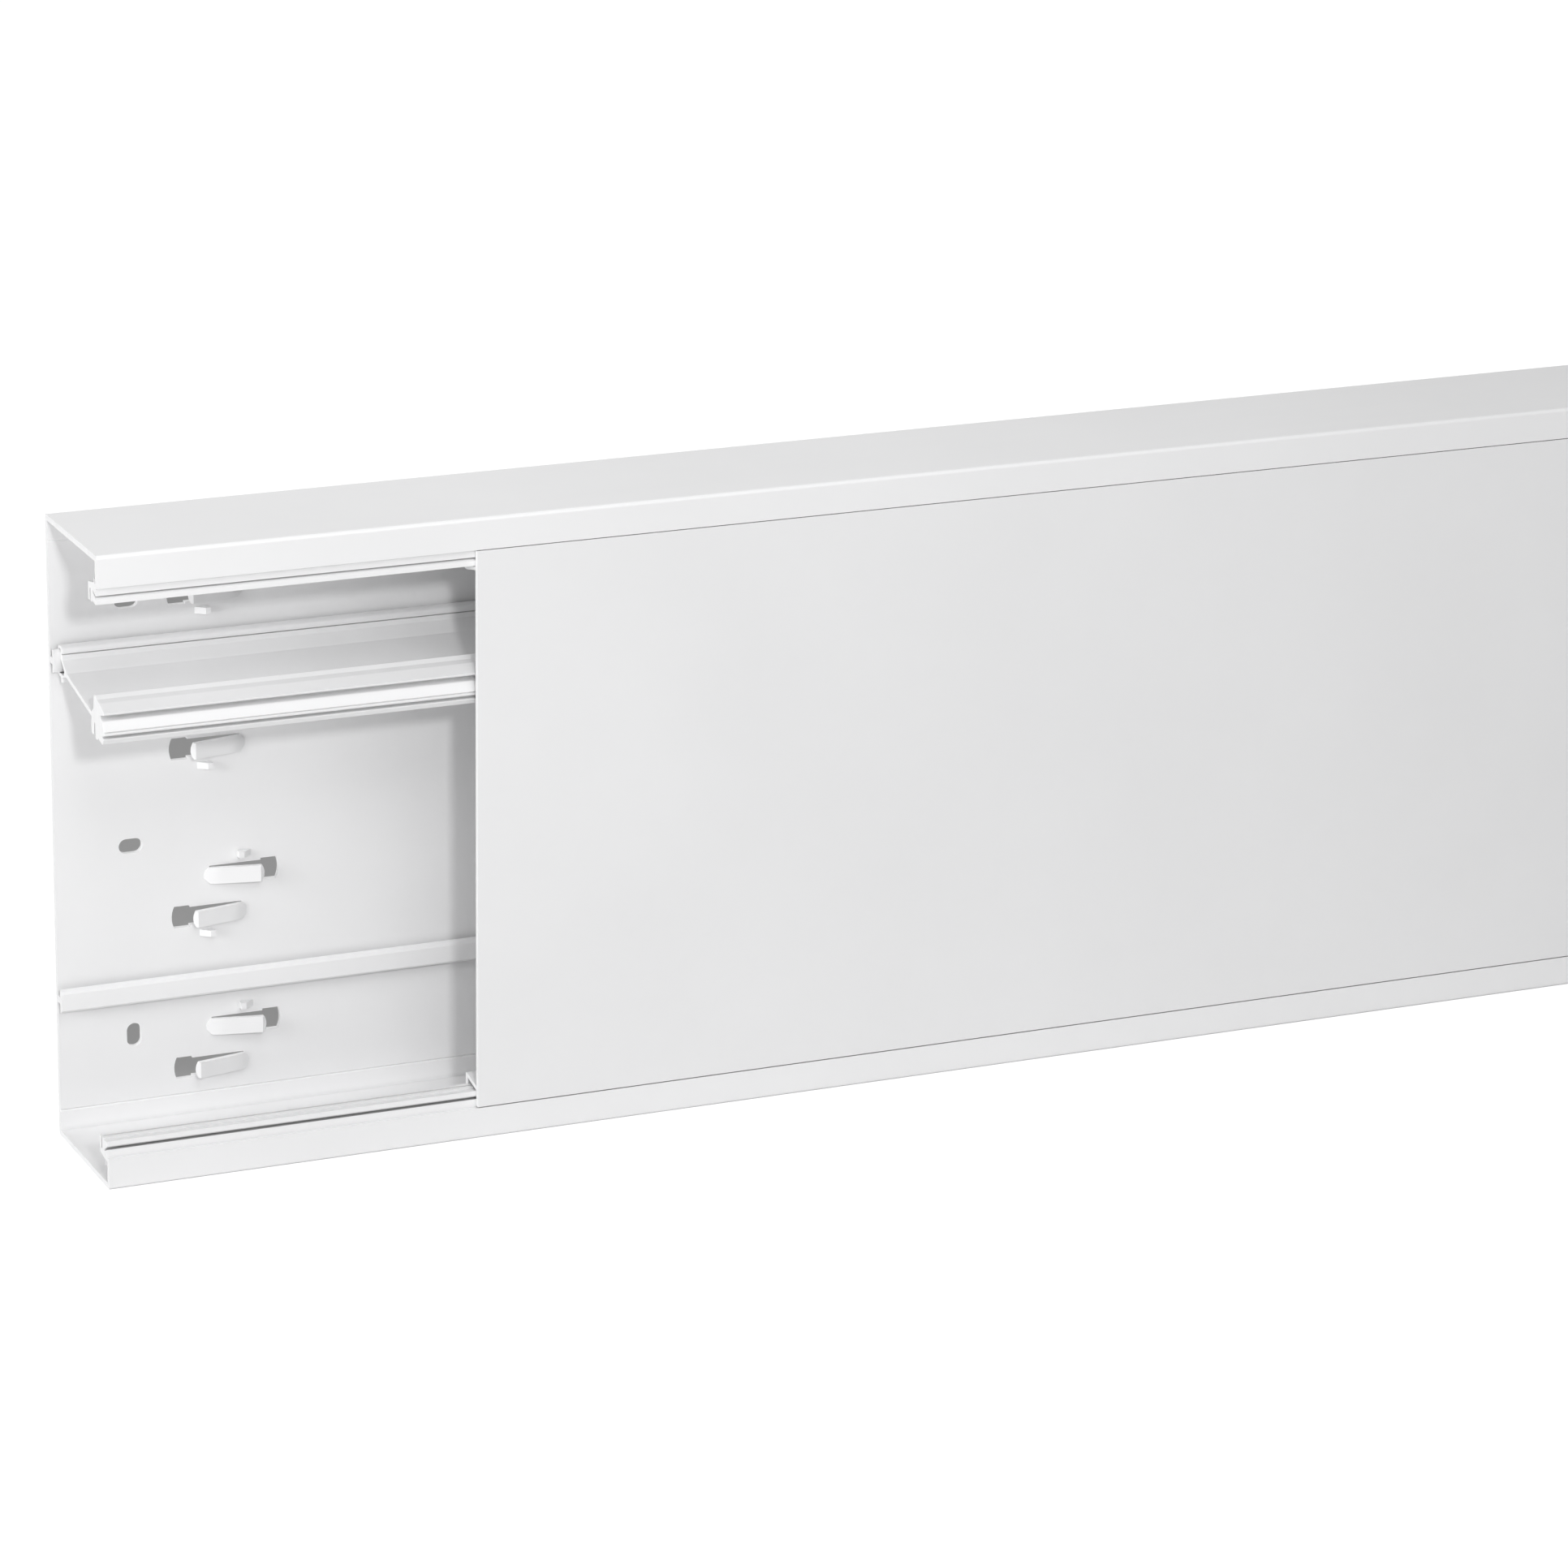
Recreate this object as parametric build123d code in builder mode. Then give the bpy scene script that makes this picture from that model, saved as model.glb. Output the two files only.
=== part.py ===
from build123d import *
import math
import os

# Wall trunking for cables: a C-shaped base, a clip-on partition and a clip-on cover, all in PVC.
# Lengths are in millimetres. X runs along the stock, the open front faces -Y and Z is up.
# The base stands on its bottom wall, with the origin under the middle of the section.

os.makedirs("parts", exist_ok=True)

# Overall stock
length = 2000.0
depth = 50.0
height = 195.0
wall = 1.8
corner_radius = 1.0

# Front lips of the base, measured in from the top or the bottom face
lip_face = 9.8
cover_thickness = 1.5
seat_height = 2.5
groove_mouth = 0.6
groove_depth = 2.6
groove_rise = 1.2
flange_height = 2.0
flange_chamfer = 0.5
foot_notch = 0.6
front_leg_depth = 6.4
front_leg = 1.3
leg_slit = 0.8
slit_height = 3.8
back_leg = 1.4
back_leg_height = 5.4
lip_root_rise = 1.0
nib = 0.8
nib_slit = 0.5
nib_slit_depth = 1.4
nib_rise = 1.3

# Rails on the back wall, one near the bottom and its mirror image near the top
rail_from_edge = 44.2
rail_height = 7.2
rail_reach = 3.8
rail_head = 1.5
rail_stem = 2.0
rail_chamfer = 0.7
rail_round = 1.4

# Shallow line along the back wall beside each corner
score_from_edge = 8.2
score_width = 0.8
score_depth = 0.4

# Punching of the back wall: one column of slots and lugs, repeated along the stock
punch_pitch = 250.0
first_slot = 23.7
slot_width = 4.6
slot_length = 7.4
low_slot_z = 29.5
middle_slot_z = 89.7
top_slot_z = 166.3
lug_column_from_slot = 29.6
pair_lift = 0.5
inner_pair_rise = 26.6
outer_pair_rise = 75.1

# Cable lugs, cut out of the back wall in pairs and bent forwards
lug_spacing = 12.3
lug_root = 6.6
lug_root_lap = 0.7
lug_root_corner = 1.5
lug_root_solid = 1.6
lug_run = 17.9
lug_reach = 4.6
bend_run = 3.5
bend_reach = 1.8
lug_nose = 1.3
lug_nose_fall = 0.9
lug_width = 5.1
lug_thickness = 1.5
lug_bow = 0.8
lug_gap = 0.3
window_length = 5.0
window_width = 6.9

# Wedge beside each lug that has room for one
peg_from_lug = 5.8
peg_root_side = 3.9
peg_top = 1.6
peg_foot = 4.4
peg_width = 2.0
peg_reach = 2.2

# Partition, clipped over the upper rail, with a double head behind the cover
partition_inset = 2.1
web_thickness = 1.4
clip_plate = 1.4
clip_hook = 1.4
clip_hook_thickness = 1.0
clip_round = 0.7
clip_clearance = 0.15
clip_ledge = 0.4
clip_cap = 2.0
clip_cap_round = 1.3
clip_line = 0.35
clip_line_depth = 0.6
plate_contact = 2.8
plate_bend_reach = 5.6
plate_bend_rise = 1.4
wedge_reach = 3.2
wedge_rise = 1.4
tail_width = 0.8
tail_height = 1.6
head_middle = 144.0

# Cover, flush with the lips and clipped behind them
cover_start = 116.5
cover_seam = 0.25
cover_leg = 1.2
cover_leg_clearance = 0.2
cover_leg_rise = 1.6
cover_bead = 1.6
cover_bead_length = 2.4

front = -depth / 2
back = depth / 2
left_end = -length / 2
inner_back = back - wall
half = height / 2


def place(points):
    """Turns distances behind the front face, with heights, into section points."""
    return [(front + behind, up) for behind, up in points]


def mirrored(points):
    """The same outline points seen from the top face, in the opposite order."""
    return [(y, height - z) for y, z in reversed(points)]


# Section of one front lip, from its outer corner to the inner corner of the wall
seat_end = lip_face + seat_height
groove_end = seat_end + groove_mouth
flange_end = groove_end + flange_height
front_of_front_leg = front_leg_depth - front_leg
front_of_back_leg = front_leg_depth + leg_slit
rear_of_back_leg = front_of_back_leg + back_leg
lip_root = flange_end - back_leg_height
nib_front = wall + nib_slit
lip = place([
    (0, 0),
    (0, lip_face),
    (cover_thickness, lip_face),
    (cover_thickness, seat_end),
    (cover_thickness + groove_depth, seat_end - groove_rise),
    (cover_thickness + groove_depth, seat_end - groove_rise + groove_mouth),
    (cover_thickness + flange_chamfer, groove_end),
    (cover_thickness, groove_end + flange_chamfer),
    (cover_thickness, flange_end),
    (front_of_front_leg, flange_end - foot_notch),
    (front_of_front_leg, flange_end),
    (front_leg_depth, flange_end),
    (front_leg_depth, flange_end - slit_height),
    (front_of_back_leg, flange_end - slit_height),
    (front_of_back_leg, flange_end),
    (rear_of_back_leg, flange_end),
    (rear_of_back_leg, lip_root),
    (nib_front + nib, lip_root - lip_root_rise),
    (nib_front + nib, lip_root - lip_root_rise - nib_rise),
    (nib_front, lip_root - lip_root_rise - nib_rise),
    (nib_front, lip_root - lip_root_rise - nib_rise + nib_slit_depth),
    (wall, lip_root - lip_root_rise - nib_rise + nib_slit_depth),
    (wall, wall),
])

# Section of the back wall's inner face, from the corner to half the height
rail_front = inner_back - rail_reach
rail_head_back = rail_front + rail_head
rail_low = rail_from_edge - rail_height / 2
rail_high = rail_from_edge + rail_height / 2
rail_turn = rail_round * (1 - math.cos(math.pi / 4))
back_face = [
    (inner_back, wall),
    (inner_back, score_from_edge - score_width / 2),
    (inner_back + score_depth, score_from_edge),
    (inner_back, score_from_edge + score_width / 2),
    (inner_back, rail_from_edge - rail_stem / 2),
    (rail_head_back, rail_from_edge - rail_stem / 2),
    (rail_head_back, rail_low),
    (rail_front + rail_chamfer, rail_low),
    (rail_front, rail_low + rail_chamfer),
    (rail_front, rail_high - rail_round),
    (rail_front + rail_turn, rail_high - rail_turn),
    (rail_front + rail_round, rail_high),
    (rail_head_back, rail_high),
    (rail_head_back, rail_from_edge + rail_stem / 2),
    (inner_back, rail_from_edge + rail_stem / 2),
]

# One bent lug, below the centre of its pair; the other lug of the pair is this one turned round
lug_z = -lug_spacing / 2
lug_tip = lug_root - lug_run
lug_slope = (lug_reach - bend_reach) / (lug_run - bend_run)
lug_half = lug_width / 2
with BuildPart() as lug:
    with BuildSketch(Plane.XY.offset(lug_z - lug_half)):
        with BuildLine():
            Polyline(
                (lug_root + lug_root_lap, 0),
                (lug_root - bend_run, -bend_reach),
                (lug_tip + lug_nose, lug_nose * lug_slope - lug_reach),
                (lug_tip, lug_nose_fall - lug_reach),
                (lug_tip, lug_thickness - lug_reach),
                (lug_root - bend_run, lug_thickness - bend_reach),
                (lug_root, lug_thickness),
                (lug_root + lug_root_lap, lug_thickness),
                close=True,
            )
        make_face()
    extrude(amount=lug_width)
    with BuildSketch(Plane.XZ.offset(-wall)):
        with BuildLine():
            Polyline(
                (lug_tip + lug_bow, lug_z - lug_half),
                (lug_root - lug_root_corner, lug_z - lug_half),
                (lug_root, lug_z - lug_half + lug_root_corner),
                (lug_root, lug_z + lug_half - lug_root_corner),
                (lug_root - lug_root_corner, lug_z + lug_half),
                (lug_tip + lug_bow, lug_z + lug_half),
            )
            ThreePointArc(
                (lug_tip + lug_bow, lug_z + lug_half),
                (lug_tip, lug_z),
                (lug_tip + lug_bow, lug_z - lug_half),
            )
        make_face()
    extrude(amount=wall + lug_reach, mode=Mode.INTERSECT)

# One wedge, with its steep side towards the root of the lug
peg_z = lug_z - peg_from_lug
peg_steep = -peg_root_side
with BuildPart() as peg:
    with BuildSketch(Plane.XY.offset(peg_z - peg_width / 2)):
        with BuildLine():
            Polyline(
                (peg_steep, wall / 2),
                (peg_steep, -peg_reach),
                (peg_steep - peg_top, -peg_reach),
                (peg_steep - peg_foot, 0),
                (peg_steep - peg_foot, wall / 2),
                close=True,
            )
        make_face()
    extrude(amount=peg_width)

# Where the punching comes along the stock, and the heights of its pairs of lugs
columns = int((length - first_slot - lug_column_from_slot) // punch_pitch) + 1
slot_xs = [left_end + first_slot + punch_pitch * n for n in range(columns)]
pair_middle = half + pair_lift
pair_rises = (-outer_pair_rise, -inner_pair_rise, inner_pair_rise, outer_pair_rise)
pair_places = [(x + lug_column_from_slot, pair_middle + rise) for x in slot_xs for rise in pair_rises]
lowest_pair = pair_middle - outer_pair_rise
highest_pair = pair_middle + outer_pair_rise

# One hole in the back wall: the slot that the lug leaves, and the wider window past its free end
slot_half = lug_half + lug_gap
window_half = window_width / 2
window_end = lug_tip - window_length
slot_end = lug_root - lug_root_solid
with BuildSketch() as lug_hole:
    with BuildLine():
        Polyline(
            (window_end, lug_z - window_half),
            (lug_tip, lug_z - window_half),
            (lug_tip, lug_z - slot_half),
            (slot_end, lug_z - slot_half),
            (slot_end, lug_z + slot_half),
            (lug_tip, lug_z + slot_half),
            (lug_tip, lug_z + window_half),
            (window_end, lug_z + window_half),
        )
        ThreePointArc(
            (window_end, lug_z + window_half),
            (window_end - lug_bow, lug_z),
            (window_end, lug_z - window_half),
        )
    make_face()

with BuildPart() as trunking_base:
    with BuildSketch(Plane.YZ.offset(left_end)) as section:
        with BuildLine():
            Polyline(
                *[(back, 0)],
                *lip,
                *back_face,
                *mirrored(back_face),
                *mirrored(lip),
                *[(back, height)],
                close=True,
            )
        make_face()
        outer_corners = section.vertices().group_by(Axis.Y)
        fillet(outer_corners[0] + outer_corners[-1], corner_radius)
    extrude(amount=length)

    # Fixing slots: level ones in the top and middle rows, upright ones in the low row
    with BuildSketch(Plane.XZ.offset(-back)):
        with Locations(*[(x, z) for x in slot_xs for z in (middle_slot_z, top_slot_z)]):
            SlotOverall(slot_length, slot_width)
        with Locations(*[(x, low_slot_z) for x in slot_xs]):
            SlotOverall(slot_length, slot_width, rotation=90)
    extrude(amount=wall, mode=Mode.SUBTRACT)

    # Holes that the lugs were bent out of
    with BuildSketch(Plane.XZ.offset(-back)):
        with Locations(*[
            Location((x, z, 0), (0, 0, turn)) for x, z in pair_places for turn in (0, 180)
        ]):
            add(lug_hole.sketch)
    extrude(amount=wall, mode=Mode.SUBTRACT)

    # The lugs themselves
    with Locations(*[
        Location((x, inner_back, z), (0, turn, 0)) for x, z in pair_places for turn in (0, 180)
    ]):
        add(lug.part)

    # The wedges, left out between the outermost lugs and the corners of the section
    with Locations(*[
        Location((x, inner_back, z), (0, turn, 0))
        for x, z in pair_places
        for turn in (0, 180)
        if (z, turn) not in ((lowest_pair, 0), (highest_pair, 180))
    ]):
        add(peg.part)

# Clip of the partition: a plate against the rail, a rounded hook over it, and an arm with a tail below it
rail_top = height - rail_low
rail_bottom = height - rail_high
plate_front = rail_front - clip_plate
hook_front = rail_head_back + clip_clearance
hook_back = hook_front + clip_hook_thickness
hook_top = rail_top + clip_clearance + clip_hook_thickness
plate_end = rail_top - plate_contact
bend = (rail_front - plate_bend_reach, rail_bottom + plate_bend_rise)
arm_top = rail_bottom - clip_clearance
arm_bottom = arm_top - clip_hook_thickness
tail_front = rail_front - tail_width
cap_front = plate_front - clip_ledge
cap_low = hook_top - clip_cap
cap_turn = clip_cap_round * (1 - math.cos(math.pi / 4))
clip = [
    bend,
    (plate_front, plate_end),
    (plate_front, cap_low - clip_line),
    (plate_front + clip_line_depth, cap_low - clip_line),
    (plate_front + clip_line_depth, cap_low),
    (cap_front, cap_low),
    (cap_front, hook_top - clip_cap_round),
    (cap_front + cap_turn, hook_top - cap_turn),
    (cap_front + clip_cap_round, hook_top),
    (hook_back - clip_round, hook_top),
    (hook_back, hook_top - clip_round),
    (hook_back, rail_top - clip_hook),
    (hook_front, rail_top - clip_hook),
    (hook_front, rail_top + clip_clearance),
    (rail_front, rail_top + clip_clearance),
    (rail_front, plate_end),
    (rail_front - wedge_reach, rail_bottom + wedge_rise),
    (rail_front - wedge_reach + clip_round, arm_top),
    (hook_front, arm_top),
    (hook_front, rail_bottom + clip_hook),
    (hook_back, rail_bottom + clip_hook),
    (hook_back, arm_bottom + clip_round),
    (hook_back - clip_round, arm_bottom),
    (rail_front, arm_bottom),
    (rail_front, arm_bottom - tail_height),
    (tail_front, arm_bottom - tail_height),
    (tail_front, arm_bottom),
    (rail_front - wedge_reach - clip_round, arm_top),
    (bend[0], bend[1] - web_thickness),
]

# Head of the partition, as depth behind the front face and height above its middle
head = [(front + behind, head_middle + up) for behind, up in [
    (15.1, -1.5),
    (15.4, -4.6),
    (15.0, -6.4),
    (13.5, -6.7),
    (12.5, -2.6),
    (11.6, -2.6),
    (11.4, -7.0),
    (10.0, -7.3),
    (8.8, -6.6),
    (4.9, -7.3),
    (3.6, -5.5),
    (5.0, -5.1),
    (5.2, -4.7),
    (3.2, -4.3),
    (2.9, -3.6),
    (3.5, -3.3),
    (2.8, -3.0),
    (4.7, -0.2),
    (6.6, 0.6),
    (6.6, 1.2),
    (3.1, 2.0),
    (2.7, 2.6),
    (7.2, 4.6),
    (9.8, 5.0),
    (11.4, 6.0),
    (12.3, 5.8),
    (12.9, 1.6),
    (15.1, -0.1),
]]

with BuildPart() as partition:
    with BuildSketch(Plane.YZ.offset(left_end + partition_inset)):
        with BuildLine():
            Polyline(*clip, *head, close=True)
        make_face()
    extrude(amount=length - partition_inset)

# Section of the cover: a flat plate with a sloping, beaded clip leg behind each long edge
leg_outer = flange_end + cover_leg_clearance
bead_start = rear_of_back_leg + cover_leg_clearance
bead_end = bead_start + cover_bead
cover_edge = place([
    (0, lip_face + cover_seam),
    (cover_thickness, lip_face + cover_seam),
    (cover_thickness, leg_outer),
    (bead_start, leg_outer + cover_leg_rise),
    (bead_start, leg_outer + cover_leg_rise - cover_bead_length),
    (bead_end, leg_outer + cover_leg_rise - cover_bead_length),
    (bead_end, leg_outer + cover_leg_rise + cover_leg),
    (bead_start, leg_outer + cover_leg_rise + cover_leg),
    (cover_thickness, leg_outer + cover_leg),
])

with BuildPart() as cover:
    with BuildSketch(Plane.YZ.offset(left_end + cover_start)):
        with BuildLine():
            Polyline(*cover_edge, *mirrored(cover_edge), close=True)
        make_face()
    extrude(amount=length - cover_start)

trunking_base.part.label = "trunking_base"
partition.part.label = "partition"
cover.part.label = "cover"
export_step(trunking_base.part, "parts/trunking_base.step")
export_step(partition.part, "parts/partition.step")
export_step(cover.part, "parts/cover.step")
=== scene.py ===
import math

import bmesh
import bpy
from bpy.props import FloatProperty, FloatVectorProperty, IntProperty, PointerProperty
from mathutils import Matrix, Vector


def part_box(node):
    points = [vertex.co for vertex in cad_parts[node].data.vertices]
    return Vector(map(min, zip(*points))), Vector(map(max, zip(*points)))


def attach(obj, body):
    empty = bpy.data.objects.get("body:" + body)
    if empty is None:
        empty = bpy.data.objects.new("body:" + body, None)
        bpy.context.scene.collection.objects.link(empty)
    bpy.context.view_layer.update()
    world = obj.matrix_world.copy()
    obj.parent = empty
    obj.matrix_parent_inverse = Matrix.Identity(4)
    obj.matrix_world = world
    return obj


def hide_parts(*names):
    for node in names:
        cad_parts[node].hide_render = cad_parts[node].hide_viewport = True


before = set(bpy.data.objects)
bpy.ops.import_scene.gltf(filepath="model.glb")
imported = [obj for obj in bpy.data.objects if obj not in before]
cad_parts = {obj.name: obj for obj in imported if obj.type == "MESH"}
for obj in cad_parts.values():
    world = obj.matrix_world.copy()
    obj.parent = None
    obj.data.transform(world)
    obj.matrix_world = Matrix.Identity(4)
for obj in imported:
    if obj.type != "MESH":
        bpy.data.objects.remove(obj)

bl_info = {
    "name": "Cable trunking",
    "version": (1, 0, 0),
    "blender": (4, 5, 0),
    "location": "3D View > Sidebar > Trunking",
    "description": "Finishes and lights a length of wall trunking with its partition and cover",
    "category": "Object",
}

# Each lug is creased this far in front of the trunking's back, over its whole width.
LUG_BEND = 0.0036
LUG_WIDTH = 0.0051
LUG_BEND_STEPS = 4

# Corners closer than JOINED are one corner. The rest say how well a crease or a cut end has to fit.
JOINED = 0.000002
LEVEL = 0.00001
IN_PLACE = 0.00005
SAME_WIDTH = 0.0001
FLAT_ANGLE = 0.001
SHARP_ANGLE = math.radians(25)

# The plastic: how it bends light, and its grain, clouds and relief, with sizes in metres.
PVC_IOR = 1.53
GRAIN_SIZE, GRAIN_DEPTH = 0.0004, 0.00001
CLOUD_SIZE = 0.06
SAW_DEPTH = 0.00003
SAWN_ROUGHNESS = 0.6
DULLER, SHINIER = 0.06, 0.05
# Lines drawn along the length change this much more slowly than across it.
DRAWN_OUT = 0.012
# Most of Blender's noise lies between these.
NOISE_LOW, NOISE_HIGH = 0.3, 0.7
# With less open room than the first the painted shade in gaps is full, and past the second it is
# gone.
SHUT_IN, WIDE_OPEN = 0.08, 0.42

# The floor's shade: the widths of its soft edges, the share of its reach that is full, and how
# far along from the open end it is deepened in full.
OPEN_END_EDGE = 0.015
FAR_END_EDGE = 0.05
WALL_EDGE = (-0.01, 0.005)
FULL_SHADE = 0.9
EVEN_LENGTH = 0.12

# What the lamps face is this far along from the open end, and this high.
LIT_ALONG, LIT_HEIGHT = 0.1, 0.1

# The photo's viewpoint in metres, and its turn, pitch and roll in degrees.
CAMERA_PLACE = (-1.51577, -1.69307, 0.69002)
CAMERA_TURN, CAMERA_PITCH, CAMERA_ROLL = 23.692, 17.907, 0.812
SENSOR_WIDTH = 36


# Settings

class PlasticSettings(bpy.types.PropertyGroup):
    """White extruded PVC"""

    base_colour: FloatVectorProperty(
        name="Base", description="Colour of the base's plastic",
        subtype="COLOR", size=3, min=0, max=1, default=(0.92, 0.92, 0.925))
    partition_colour: FloatVectorProperty(
        name="Partition", description="Colour of the partition's plastic",
        subtype="COLOR", size=3, min=0, max=1, default=(0.92, 0.92, 0.925))
    # The cover is the same white plastic as the base. Its colour is set a little darker as painted
    # shade, because it faces the lamps more than the inside does.
    cover_shaded_colour: FloatVectorProperty(
        name="Cover", description="Colour of the cover's plastic",
        subtype="COLOR", size=3, min=0, max=1, default=(0.885, 0.885, 0.89))
    roughness: FloatProperty(
        name="Roughness", description="How dull the extruded skin is",
        subtype="FACTOR", min=0, max=1, default=0.42)
    edge_radius: FloatProperty(
        name="Edge radius", description="Radius that the die leaves on every edge",
        unit="LENGTH", min=0.00002, max=0.0005, default=0.00018)
    edge_steps: IntProperty(
        name="Edge steps", description="Flats around each softened edge",
        min=1, max=4, default=2)
    bend_radius: FloatProperty(
        name="Bend", description="How softly each lug is bent out of the back wall",
        unit="LENGTH", min=0, max=0.002, default=0.0015)
    die_line_pitch: FloatProperty(
        name="Die line pitch", description="Distance between the faint lines along the length",
        unit="LENGTH", min=0.0002, max=0.01, default=0.0016)
    die_line_depth: FloatProperty(
        name="Die line depth", description="How deep the lines along the length are",
        unit="LENGTH", min=0, max=0.0002, default=0.000012)
    # Painted shade in slits and seams: the widest gap that is darkened, and how much darker it
    # gets.
    gap_width: FloatProperty(
        name="Gap width", description="Widest slit or seam that looks dusty inside",
        unit="LENGTH", min=0.0005, max=0.02, default=0.003)
    gap_shade_depth: FloatProperty(
        name="Gap shade", description="How much darker the plastic is deep in a slit",
        subtype="FACTOR", min=0, max=1, default=0.55)
    saw_pitch: FloatProperty(
        name="Saw mark pitch", description="Distance between the marks on the cut ends",
        unit="LENGTH", min=0.0001, max=0.005, default=0.0005)


class StudioSettings(bpy.types.PropertyGroup):
    """Floor, lamps and camera"""

    floor_colour: FloatVectorProperty(
        name="Floor", description="Colour of the floor",
        subtype="COLOR", size=3, min=0, max=1, default=(0.82, 0.82, 0.82))
    floor_size: FloatProperty(
        name="Floor size", description="Width of the square floor",
        unit="LENGTH", min=2, default=24)
    floor_glow: FloatProperty(
        name="Floor glow", description="What lifts the floor to white for the camera",
        min=0, default=0.75)
    shade_reach: FloatProperty(
        name="Shade reach", description="How far the shade behind the trunking reaches",
        unit="LENGTH", default=0.68)
    shade_lean: FloatProperty(
        name="Shade lean", description="How far the shade leans from the open end as it goes back",
        default=0.30)
    shade_depth: FloatProperty(
        name="Shade depth", description="How dark the floor is in that shade near the open end",
        subtype="FACTOR", min=0, max=1, default=0.42)
    deep_length: FloatProperty(
        name="Deep length", description="Length of the trunking along which the shade is deepened",
        unit="LENGTH", min=0.2, default=1.3)
    sky_strength: FloatProperty(
        name="Sky", description="Strength of the even light from all round",
        min=0, default=0.31)
    key_power: FloatProperty(
        name="Key lamp", description="Power of the main lamp",
        unit="POWER", min=0, default=5.8)
    key_turn: FloatProperty(
        name="Key turn",
        description="How far the main lamp stands round from the front, past the open end",
        subtype="ANGLE", default=math.radians(11))
    key_rise: FloatProperty(
        name="Key rise", description="How high the main lamp stands",
        subtype="ANGLE", default=math.radians(24))
    key_distance: FloatProperty(
        name="Key distance", description="Distance of the main lamp",
        unit="LENGTH", min=0.5, default=1.6)
    key_size: FloatProperty(
        name="Key size", description="Width of the main lamp",
        unit="LENGTH", min=0.01, default=0.1)
    end_power: FloatProperty(
        name="End lamp", description="Power of the soft lamp beyond the open end",
        unit="POWER", min=0, default=6.0)
    high_power: FloatProperty(
        name="High lamp", description="Power of the soft lamp high in front",
        unit="POWER", min=0, default=4.0)
    top_power: FloatProperty(
        name="Top lamp", description="Power of the small lamp above and behind the open end",
        unit="POWER", min=0, default=0.62)
    lens: FloatProperty(
        name="Lens", description="Focal length on a 36 mm sensor",
        unit="CAMERA", min=10, default=144.45)


def settings():
    """The plastic's and the studio's settings."""
    return bpy.context.scene.trunking_plastic, bpy.context.scene.trunking_studio


# Nodes

def add_node(tree, kind, place, **values):
    """A node of that kind, with its own settings, and its sockets given by name."""
    node = tree.nodes.new(kind)
    node.location = place
    sockets = values.pop("sockets", {})
    for name, value in values.items():
        setattr(node, name, value)
    for name, value in sockets.items():
        node.inputs[name].default_value = value
    return node


def empty_tree(owner):
    """The node tree of a material or world, with nothing in it."""
    owner.use_nodes = True
    owner.node_tree.nodes.clear()
    return owner.node_tree


def worked_out(tree, operation, first, second, place):
    """The result of one sum on two numbers or sockets."""
    node = add_node(tree, "ShaderNodeMath", place, operation=operation)
    for socket, value in zip(node.inputs, (first, second)):
        if isinstance(value, (int, float)):
            socket.default_value = value
        else:
            tree.links.new(value, socket)
    return node.outputs["Value"]


def faded(tree, source, start, end, place):
    """0 before start and 1 past end, with a soft change between, in metres."""
    node = add_node(tree, "ShaderNodeMapRange", place, interpolation_type="SMOOTHSTEP", sockets={
        "From Min": start, "From Max": end, "To Min": 0.0, "To Max": 1.0})
    tree.links.new(source, node.inputs["Value"])
    return node.outputs["Result"]


def background_ray(tree, place):
    """1 for the rays that show the background: the camera's, and those in gloss and glass."""
    path = add_node(tree, "ShaderNodeLightPath", (place[0] - 400, place[1]))
    seen = worked_out(tree, "MAXIMUM", path.outputs["Is Camera Ray"],
                      path.outputs["Is Glossy Ray"], (place[0] - 200, place[1]))
    return worked_out(tree, "MAXIMUM", seen, path.outputs["Is Transmission Ray"], place)


def shown_to_camera(tree, kind, lighting, background, place):
    """Uses the first shader to light the object and the second as what is seen."""
    mixed = add_node(tree, "ShaderNodeMixShader", place)
    out = add_node(tree, kind, (place[0] + 200, place[1]))
    tree.links.new(background_ray(tree, (place[0] - 200, place[1] + 300)), mixed.inputs["Fac"])
    tree.links.new(lighting, mixed.inputs[1])
    tree.links.new(background, mixed.inputs[2])
    tree.links.new(mixed.outputs["Shader"], out.inputs["Surface"])


# Plastic

def shader_and_tree(name, colour, roughness):
    """A new material of that colour, with its tree and its shader."""
    material = bpy.data.materials.new(name)
    material.use_nodes = True
    tree = material.node_tree
    shader = tree.nodes["Principled BSDF"]
    shader.location = (600, 0)
    shader.inputs["Base Color"].default_value = (*colour, 1)
    shader.inputs["Roughness"].default_value = roughness
    shader.inputs["IOR"].default_value = PVC_IOR
    return material, tree, shader


def stretched_noise(tree, along, pitch, detail, place):
    """Noise drawn out along one axis, as lines at that pitch."""
    where = add_node(tree, "ShaderNodeTexCoord", (place[0] - 600, place[1]))
    scale = [1 / pitch] * 3
    scale["XYZ".index(along)] = DRAWN_OUT / pitch
    stretch = add_node(tree, "ShaderNodeMapping", (place[0] - 400, place[1]), sockets={
        "Scale": scale})
    noise = add_node(tree, "ShaderNodeTexNoise", place, sockets={
        "Scale": 1.0, "Detail": detail, "Roughness": 0.6})
    tree.links.new(where.outputs["Object"], stretch.inputs["Vector"])
    tree.links.new(stretch.outputs["Vector"], noise.inputs["Vector"])
    return noise


def mottled_noise(tree, size, detail, place):
    """Even noise with spots of that size."""
    where = add_node(tree, "ShaderNodeTexCoord", (place[0] - 600, place[1]))
    noise = add_node(tree, "ShaderNodeTexNoise", place, sockets={
        "Scale": 1 / size, "Detail": detail})
    tree.links.new(where.outputs["Object"], noise.inputs["Vector"])
    return noise


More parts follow.
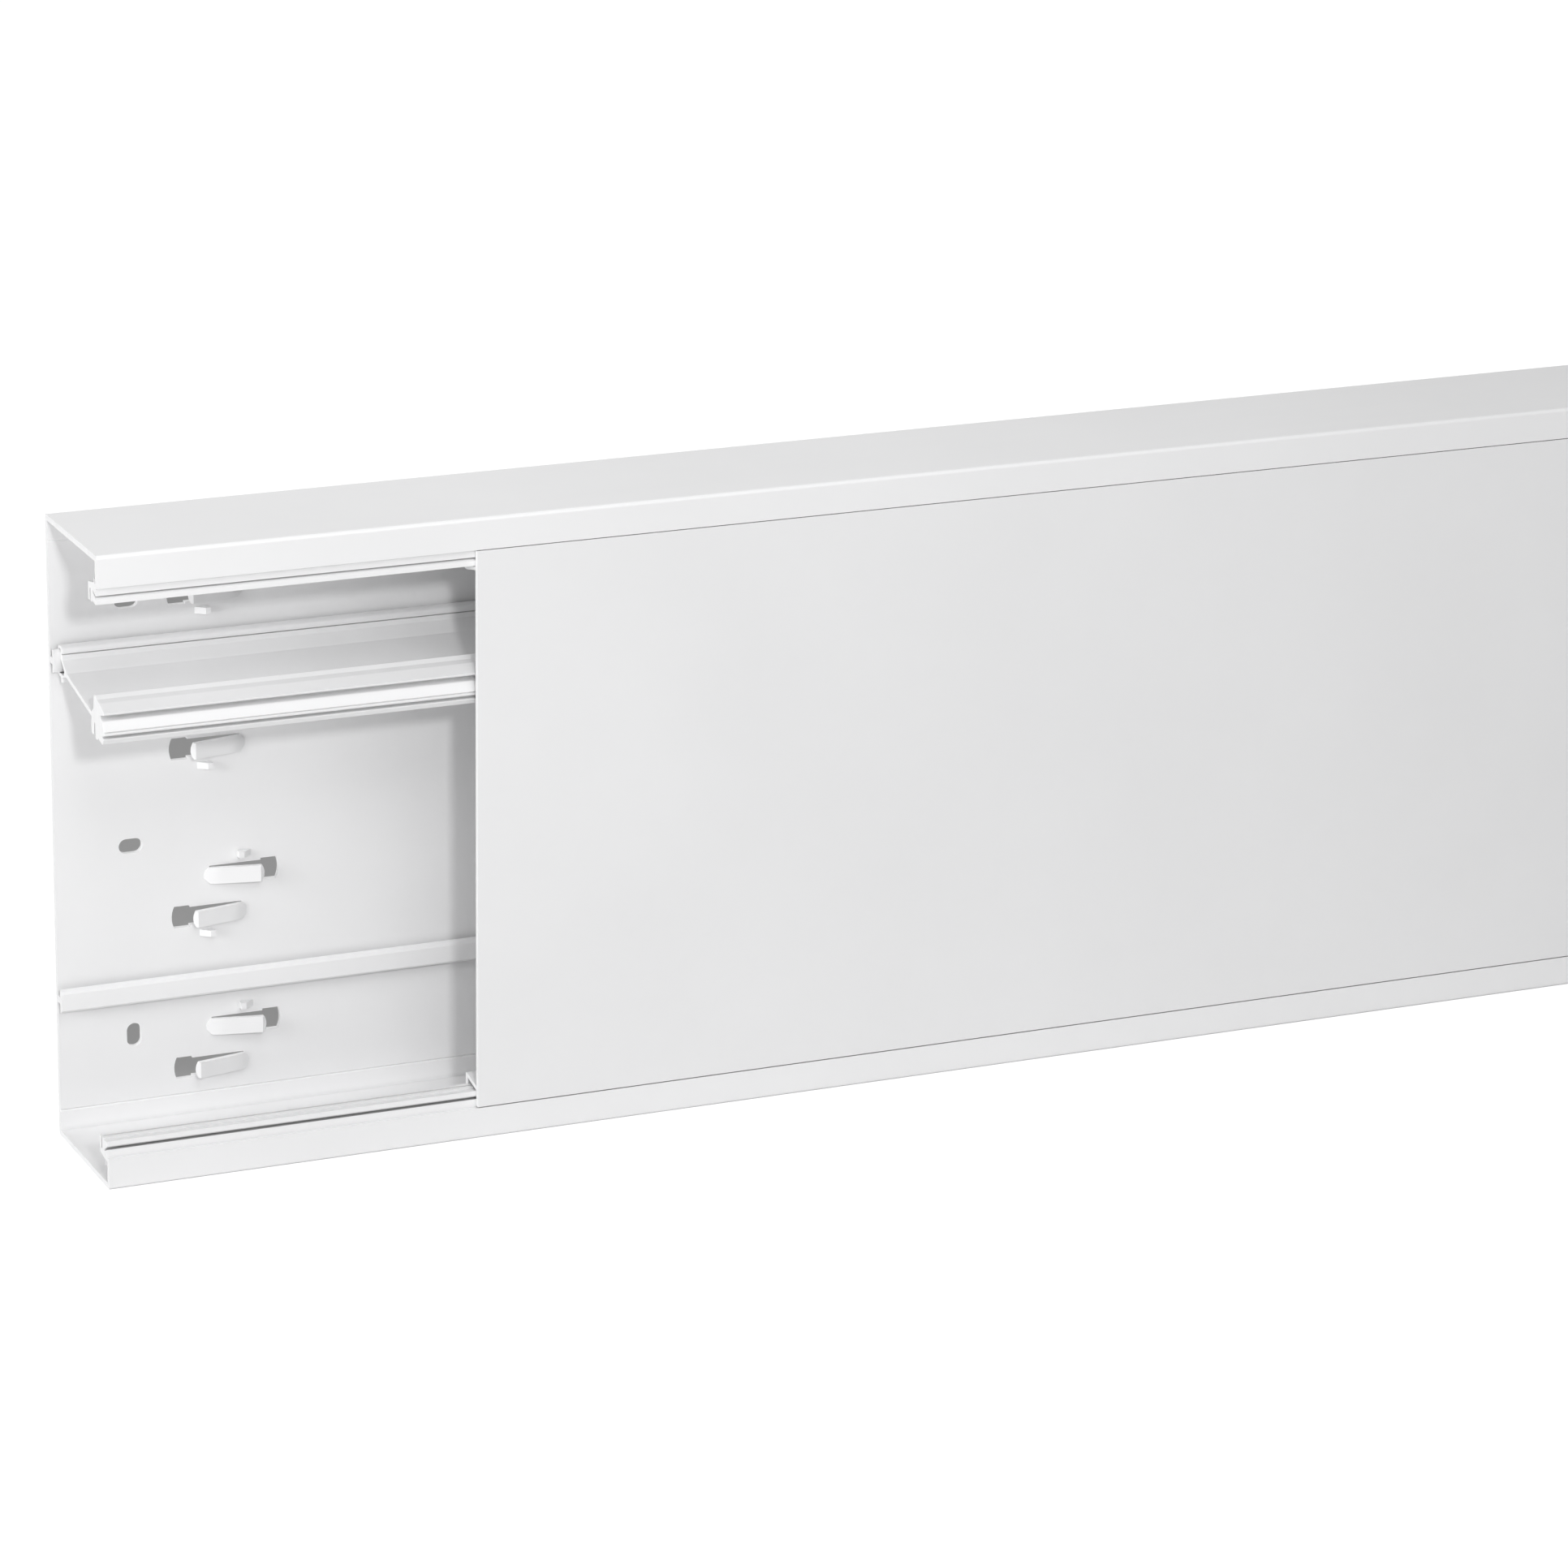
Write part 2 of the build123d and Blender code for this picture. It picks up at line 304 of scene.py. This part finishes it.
def tinted(tree, noise, colour, darkest, lightest):
    """The colour, a little darker and lighter as the noise goes."""
    tint = add_node(tree, "ShaderNodeValToRGB", (-200, 300))
    low, high = tint.color_ramp.elements
    for stop, position, share in ((low, NOISE_LOW, darkest), (high, NOISE_HIGH, lightest)):
        stop.position = position
        stop.color = (*[min(1, c * share) for c in colour], 1)
    tree.links.new(noise.outputs["Fac"], tint.inputs["Fac"])
    return tint.outputs["Color"]


def ranged(tree, noise, low, high, place):
    """A number that goes from low to high as the noise does."""
    node = add_node(tree, "ShaderNodeMapRange", place, sockets={
        "From Min": NOISE_LOW, "From Max": NOISE_HIGH, "To Min": low, "To Max": high})
    tree.links.new(noise.outputs["Fac"], node.inputs["Value"])
    return node.outputs["Result"]


def relief(tree, noise, strength, depth, place, under=None):
    """Bumps as deep as given, on top of the relief that is already there."""
    bump = add_node(tree, "ShaderNodeBump", place, sockets={
        "Strength": strength, "Distance": depth})
    tree.links.new(noise.outputs["Fac"], bump.inputs["Height"])
    if under is not None:
        tree.links.new(under, bump.inputs["Normal"])
    return bump.outputs["Normal"]


def painted_gap_shade(tree, colour, plastic, place):
    """The colour, brought down in slits and seams too narrow for light to reach well: painted
    shade.
    """
    # Painted shade: the less open room round a spot, the darker its colour.
    room = add_node(
        tree, "ShaderNodeAmbientOcclusion", (place[0] - 200, place[1] + 200), samples=3,
        sockets={"Distance": plastic.gap_width})
    depth = add_node(tree, "ShaderNodeMapRange", (place[0], place[1] + 200), sockets={
        "From Min": SHUT_IN, "From Max": WIDE_OPEN, "To Min": 1 - plastic.gap_shade_depth, "To Max": 1.0})
    shaded = add_node(tree, "ShaderNodeVectorMath", place, operation="MULTIPLY")
    tree.links.new(room.outputs["AO"], depth.inputs["Value"])
    tree.links.new(colour, shaded.inputs[0])
    tree.links.new(depth.outputs["Result"], shaded.inputs[1])
    return shaded.outputs["Vector"]


def extruded_pvc(name, colour, plastic):
    """Satin white plastic with die lines along the length, a fine grain and a slight cloudiness."""
    material, tree, shader = shader_and_tree(name, colour, plastic.roughness)
    lines = stretched_noise(tree, "X", plastic.die_line_pitch, 3, (-800, 0))
    grain = mottled_noise(tree, GRAIN_SIZE, 2, (-800, -300))
    cloud = mottled_noise(tree, CLOUD_SIZE, 3, (-800, 300))
    tint = tinted(tree, cloud, colour, 0.985, 1.01)
    # Painted shade in slits and seams is brought into the plastic's colour here.
    shaded = painted_gap_shade(tree, tint, plastic, (100, 400))
    sheen = ranged(tree, lines, plastic.roughness - SHINIER, plastic.roughness + DULLER, (-200, 0))
    drawn = relief(tree, lines, 1.0, plastic.die_line_depth, (100, -200))
    grained = relief(tree, grain, 0.25, GRAIN_DEPTH, (300, -300), under=drawn)
    tree.links.new(shaded, shader.inputs["Base Color"])
    tree.links.new(sheen, shader.inputs["Roughness"])
    tree.links.new(grained, shader.inputs["Normal"])
    return material


def sawn_pvc(name, colour, plastic):
    """The same plastic where it was sawn through: duller, with fine upright marks."""
    material, tree, shader = shader_and_tree(name, colour, SAWN_ROUGHNESS)
    marks = stretched_noise(tree, "Z", plastic.saw_pitch, 2, (-800, 0))
    tint = tinted(tree, marks, colour, 0.96, 1.02)
    scored = relief(tree, marks, 0.8, SAW_DEPTH, (200, -200))
    tree.links.new(tint, shader.inputs["Base Color"])
    tree.links.new(scored, shader.inputs["Normal"])
    return material


# Pieces

def round_lug_bends(shape, back, radius):
    """Rounds the crease across each lug, where the sheet was bent forwards."""
    bend = back - LUG_BEND
    creases = [
        edge for edge in shape.edges
        if all(abs(end.co.y - bend) < IN_PLACE for end in edge.verts)
        and abs(edge.verts[0].co.x - edge.verts[1].co.x) < LEVEL
        and abs(edge.calc_length() - LUG_WIDTH) < SAME_WIDTH
    ]
    # Edges that cross a flat face at a crease's end would leave a notch in the bend.
    shape.edges.index_update()
    ends = {end for edge in creases for end in edge.verts}
    flat = {edge for end in ends for edge in end.link_edges
            if edge.calc_face_angle(math.pi) < FLAT_ANGLE}
    bmesh.ops.dissolve_edges(shape, edges=sorted(flat, key=lambda edge: edge.index),
                             use_verts=False, use_face_split=False)
    creases = [edge for edge in creases if edge.is_valid]
    bmesh.ops.bevel(shape, geom=creases, offset=radius, offset_type="OFFSET", affect="EDGES",
                    segments=LUG_BEND_STEPS, profile=0.5, material=-1, clamp_overlap=True)


def softened_length(node, name, colour, plastic, bend_radius=0):
    """A copy of one extruded length with its triangles joined and its edges eased, that stands
    for the node."""
    low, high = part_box(node)
    shape = bmesh.new()
    shape.from_mesh(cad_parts[node].data)
    bmesh.ops.remove_doubles(shape, verts=shape.verts, dist=JOINED)
    if bend_radius:
        round_lug_bends(shape, high.y, bend_radius)
    for face in shape.faces:
        middle = face.calc_center_median().x
        face.material_index = int(min(middle - low.x, high.x - middle) < IN_PLACE)
    mesh = bpy.data.meshes.new(name)
    shape.to_mesh(mesh)
    shape.free()
    mesh.materials.append(extruded_pvc(name + "_pvc", colour, plastic))
    mesh.materials.append(sawn_pvc(name + "_sawn", colour, plastic))

    piece = bpy.data.objects.new(name, mesh)
    bpy.context.scene.collection.objects.link(piece)
    ease = piece.modifiers.new("eased edges", "BEVEL")
    ease.width = plastic.edge_radius
    ease.segments = plastic.edge_steps
    ease.limit_method = "ANGLE"
    ease.angle_limit = SHARP_ANGLE
    ease.use_clamp_overlap = True
    ease.miter_outer = "MITER_ARC"
    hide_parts(node)
    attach(piece, "root")
    return piece


class TRUNKING_OT_base(bpy.types.Operator):
    """Finish the C-shaped base with its lips, rails, slots and bent lugs"""

    bl_idname = "trunking.base"
    bl_label = "Base"

    def execute(self, context):
        plastic, _ = settings()
        softened_length("trunking_base", "base_length", plastic.base_colour, plastic,
                        bend_radius=plastic.bend_radius)
        return {"FINISHED"}


class TRUNKING_OT_partition(bpy.types.Operator):
    """Finish the partition that is clipped over the upper rail"""

    bl_idname = "trunking.partition"
    bl_label = "Partition"

    def execute(self, context):
        plastic, _ = settings()
        softened_length("partition", "partition_length",
                        plastic.partition_colour, plastic)
        return {"FINISHED"}


class TRUNKING_OT_cover(bpy.types.Operator):
    """Finish the flat cover that is clipped behind the lips"""

    bl_idname = "trunking.cover"
    bl_label = "Cover"

    def execute(self, context):
        plastic, _ = settings()
        softened_length("cover", "cover_length", plastic.cover_shaded_colour, plastic)
        return {"FINISHED"}


# Studio

def floor_shade(tree, studio):
    """How much of the shade lies on each spot of the floor, and how much of it is deepened."""
    low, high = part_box("trunking_base")
    where = add_node(tree, "ShaderNodeTexCoord", (-1400, 200))
    split = add_node(tree, "ShaderNodeSeparateXYZ", (-1200, 200))
    tree.links.new(where.outputs["Object"], split.inputs["Vector"])
    across, back = split.outputs["X"], split.outputs["Y"]
    lean = worked_out(tree, "MULTIPLY", back, studio.shade_lean, (-1000, 400))
    along = worked_out(tree, "SUBTRACT", across, lean, (-800, 400))
    left = faded(tree, along, low.x, low.x + OPEN_END_EDGE, (-600, 500))
    right = faded(tree, across, high.x + FAR_END_EDGE, high.x, (-600, 300))
    near = faded(tree, back, high.y + WALL_EDGE[0], high.y + WALL_EDGE[1], (-600, 100))
    far = faded(tree, back, studio.shade_reach, studio.shade_reach * FULL_SHADE, (-600, -100))
    close = faded(tree, along, low.x + studio.deep_length, low.x + EVEN_LENGTH, (-600, -300))
    sides = worked_out(tree, "MULTIPLY", left, right, (-400, 400))
    depths = worked_out(tree, "MULTIPLY", near, far, (-400, 0))
    shade = worked_out(tree, "MULTIPLY", sides, depths, (-200, 200))
    return shade, worked_out(tree, "MULTIPLY", shade, close, (-200, -100))


def pale_floor(studio):
    """A pale floor that the camera sees as white, apart from the shade behind what stands on it."""
    material = bpy.data.materials.new("studio_floor")
    tree = empty_tree(material)
    shade, deep_shade = floor_shade(tree, studio)
    lit = worked_out(tree, "SUBTRACT", 1.0, shade, (0, 200))
    strength = worked_out(tree, "MULTIPLY", lit, studio.floor_glow, (0, 0))
    pale = (*studio.floor_colour, 1)
    deep = (*[c * (1 - studio.shade_depth) for c in studio.floor_colour], 1)
    tone = add_node(tree, "ShaderNodeMix", (0, -100), data_type="RGBA", sockets={
        "A": pale, "B": deep})
    seen_paper = add_node(tree, "ShaderNodeBsdfDiffuse", (200, -200))
    glow = add_node(tree, "ShaderNodeEmission", (200, 0))
    both = add_node(tree, "ShaderNodeAddShader", (400, 0))
    paper = add_node(tree, "ShaderNodeBsdfDiffuse", (0, -400), sockets={"Color": pale})
    tree.links.new(deep_shade, tone.inputs["Factor"])
    tree.links.new(tone.outputs["Result"], seen_paper.inputs["Color"])
    tree.links.new(strength, glow.inputs["Strength"])
    tree.links.new(seen_paper.outputs["BSDF"], both.inputs[0])
    tree.links.new(glow.outputs["Emission"], both.inputs[1])
    shown_to_camera(tree, "ShaderNodeOutputMaterial", paper.outputs["BSDF"],
                    both.outputs["Shader"], (600, 0))
    return material


def white_sky(studio):
    """Even light from all round, which the camera and the gloss see as a white backdrop."""
    world = bpy.data.worlds.new("studio_sky")
    tree = empty_tree(world)
    light, backdrop = (
        add_node(tree, "ShaderNodeBackground", (0, height), sockets={
            "Color": (1, 1, 1, 1), "Strength": strength})
        for height, strength in ((0, studio.sky_strength), (-200, 1.0)))
    shown_to_camera(tree, "ShaderNodeOutputWorld", light.outputs["Background"],
                    backdrop.outputs["Background"], (200, 0))
    return world


def flat_floor(studio):
    """The square floor that the trunking stands on."""
    sheet = bmesh.new()
    bmesh.ops.create_grid(sheet, x_segments=1, y_segments=1, size=studio.floor_size / 2)
    mesh = bpy.data.meshes.new("studio_floor")
    sheet.to_mesh(mesh)
    sheet.free()
    mesh.materials.append(pale_floor(studio))
    floor = bpy.data.objects.new("studio_floor", mesh)
    bpy.context.scene.collection.objects.link(floor)


def aimed_lamp(target, name, turn, rise, distance, size, power):
    """A square lamp that faces the target, turned from the front past the open end and raised."""
    toward = Vector((-math.sin(turn) * math.cos(rise), -math.cos(turn) * math.cos(rise),
                     math.sin(rise)))
    data = bpy.data.lights.new(name, "AREA")
    data.shape = "SQUARE"
    data.size = size
    data.energy = power
    lamp = bpy.data.objects.new(name, data)
    lamp.location = target + toward * distance
    lamp.rotation_euler = toward.to_track_quat("Z", "Y").to_euler()
    bpy.context.scene.collection.objects.link(lamp)


def photo_camera(studio):
    """The camera at the photo's viewpoint."""
    data = bpy.data.cameras.new("camera")
    data.sensor_width = SENSOR_WIDTH
    data.lens = studio.lens
    camera = bpy.data.objects.new("camera", data)
    aim = (Matrix.Rotation(-math.radians(CAMERA_TURN), 4, "Z")
           @ Matrix.Rotation(math.pi / 2 - math.radians(CAMERA_PITCH), 4, "X")
           @ Matrix.Rotation(math.radians(CAMERA_ROLL), 4, "Z"))
    camera.matrix_world = Matrix.Translation(CAMERA_PLACE) @ aim
    bpy.context.scene.collection.objects.link(camera)
    return camera


class TRUNKING_OT_studio(bpy.types.Operator):
    """Set the floor, the lamps, the backdrop and the camera"""

    bl_idname = "trunking.studio"
    bl_label = "Studio"

    def execute(self, context):
        _, studio = settings()
        scene = context.scene
        scene.view_settings.view_transform = "Standard"
        scene.world = white_sky(studio)
        flat_floor(studio)

        low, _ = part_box("trunking_base")
        open_end = Vector((low.x + LIT_ALONG, 0, LIT_HEIGHT))
        # Each lamp's name, turn, rise, distance, width and power.
        lamps = (
            ("key", studio.key_turn, studio.key_rise,
             studio.key_distance, studio.key_size, studio.key_power),
            ("end", math.radians(75), math.radians(15), 1.2, 0.5, studio.end_power),
            ("high", math.radians(5), math.radians(52), 1.4, 0.7, studio.high_power),
            ("top", math.radians(10), math.radians(112), 0.65, 0.3, studio.top_power),
        )
        for lamp in lamps:
            aimed_lamp(open_end, *lamp)
        scene.camera = photo_camera(studio)
        return {"FINISHED"}


# Panel

class TRUNKING_PT_sidebar(bpy.types.Panel):
    """The settings and the steps, in the sidebar"""

    bl_idname = "TRUNKING_PT_sidebar"
    bl_label = "Cable trunking"
    bl_space_type = "VIEW_3D"
    bl_region_type = "UI"
    bl_category = "Trunking"

    def draw(self, context):
        layout = self.layout
        for group in settings():
            box = layout.box()
            for name in group.__annotations__:
                box.prop(group, name)
        for operator in OPERATORS:
            layout.operator(operator.bl_idname)


OPERATORS = (TRUNKING_OT_base, TRUNKING_OT_partition, TRUNKING_OT_cover, TRUNKING_OT_studio)
CLASSES = (PlasticSettings, StudioSettings, *OPERATORS, TRUNKING_PT_sidebar)


def register():
    for kind in CLASSES:
        bpy.utils.register_class(kind)
    bpy.types.Scene.trunking_plastic = PointerProperty(type=PlasticSettings)
    bpy.types.Scene.trunking_studio = PointerProperty(type=StudioSettings)


def unregister():
    del bpy.types.Scene.trunking_studio
    del bpy.types.Scene.trunking_plastic
    for kind in reversed(CLASSES):
        bpy.utils.unregister_class(kind)


def main():
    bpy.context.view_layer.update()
    register()
    bpy.ops.trunking.base()
    bpy.ops.trunking.partition()
    bpy.ops.trunking.cover()
    bpy.ops.trunking.studio()
    bpy.context.view_layer.update()


if __name__ == "__main__":
    main()
